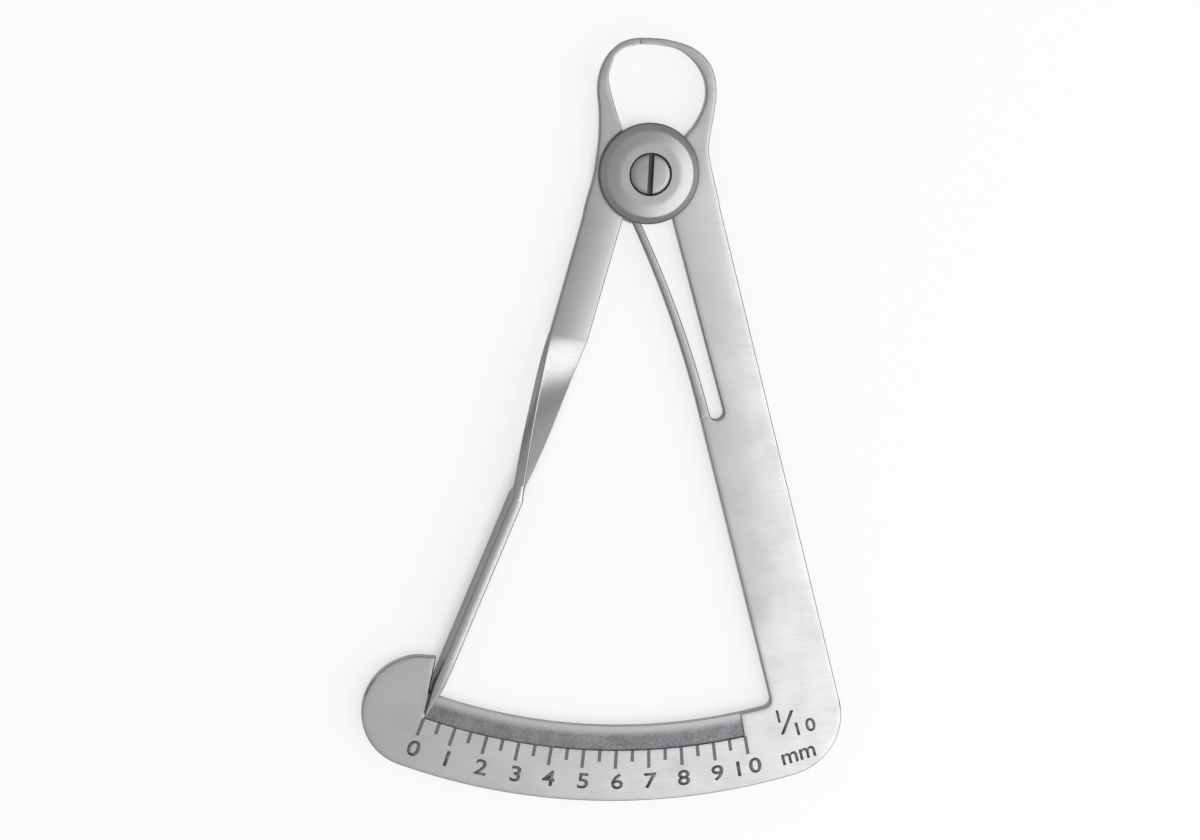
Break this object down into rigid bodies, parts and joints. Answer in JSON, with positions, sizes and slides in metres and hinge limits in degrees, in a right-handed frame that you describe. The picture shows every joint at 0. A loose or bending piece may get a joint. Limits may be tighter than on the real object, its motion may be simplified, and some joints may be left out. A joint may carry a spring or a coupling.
{
  "type": "spring caliper",
  "caption": "Spring caliper of two pivoted flat steel arms: curved jaws above, and below a twisted pointer that runs over an engraved millimetre arc.",
  "frame": {"origin": "centre of the back disc's rear face, on the pivot axis; the instrument lies on its back", "axes": "+Z out of the scale's face along the pivot, +Y from the pivot towards the jaws, +X towards the scale arm"},
  "size_m": [0.0677, 0.1061, 0.0045],
  "materials": {
    "satin_steel": "satin ground stainless steel",
    "spring_steel": "satin spring-hard stainless steel",
    "polished_steel": "polished stainless steel",
    "screw_steel": "turned stainless steel"
  },
  "bodies": {
    "scale_frame": {"scale_arm": "satin_steel", "front_disc": "polished_steel", "back_disc": "polished_steel", "pivot_screw": "screw_steel"},
    "pointer": {"pointer_arm": "satin_steel"},
    "spring": {"leaf_spring": "spring_steel"}
  },
  "joints": [
    {"name": "jaw_pivot", "type": "hinge", "parent": "scale_frame", "child": "pointer", "pos_m": [0, 0, 0.00225], "axis": [0, 0, 1], "range_deg": [0, 32.7], "stiffness_Nm_per_rad": 0.1, "springref_deg": -11.46},
    {"name": "spring_flex", "type": "hinge", "parent": "scale_frame", "child": "spring", "pos_m": [0.00795, -0.03337, 0.00225], "axis": [0, 0, -1], "range_deg": [0, 7.9]}
  ],
  "couplings": [
    {"joint": "spring_flex", "follows": "jaw_pivot", "ratio": 0.24}
  ]
}
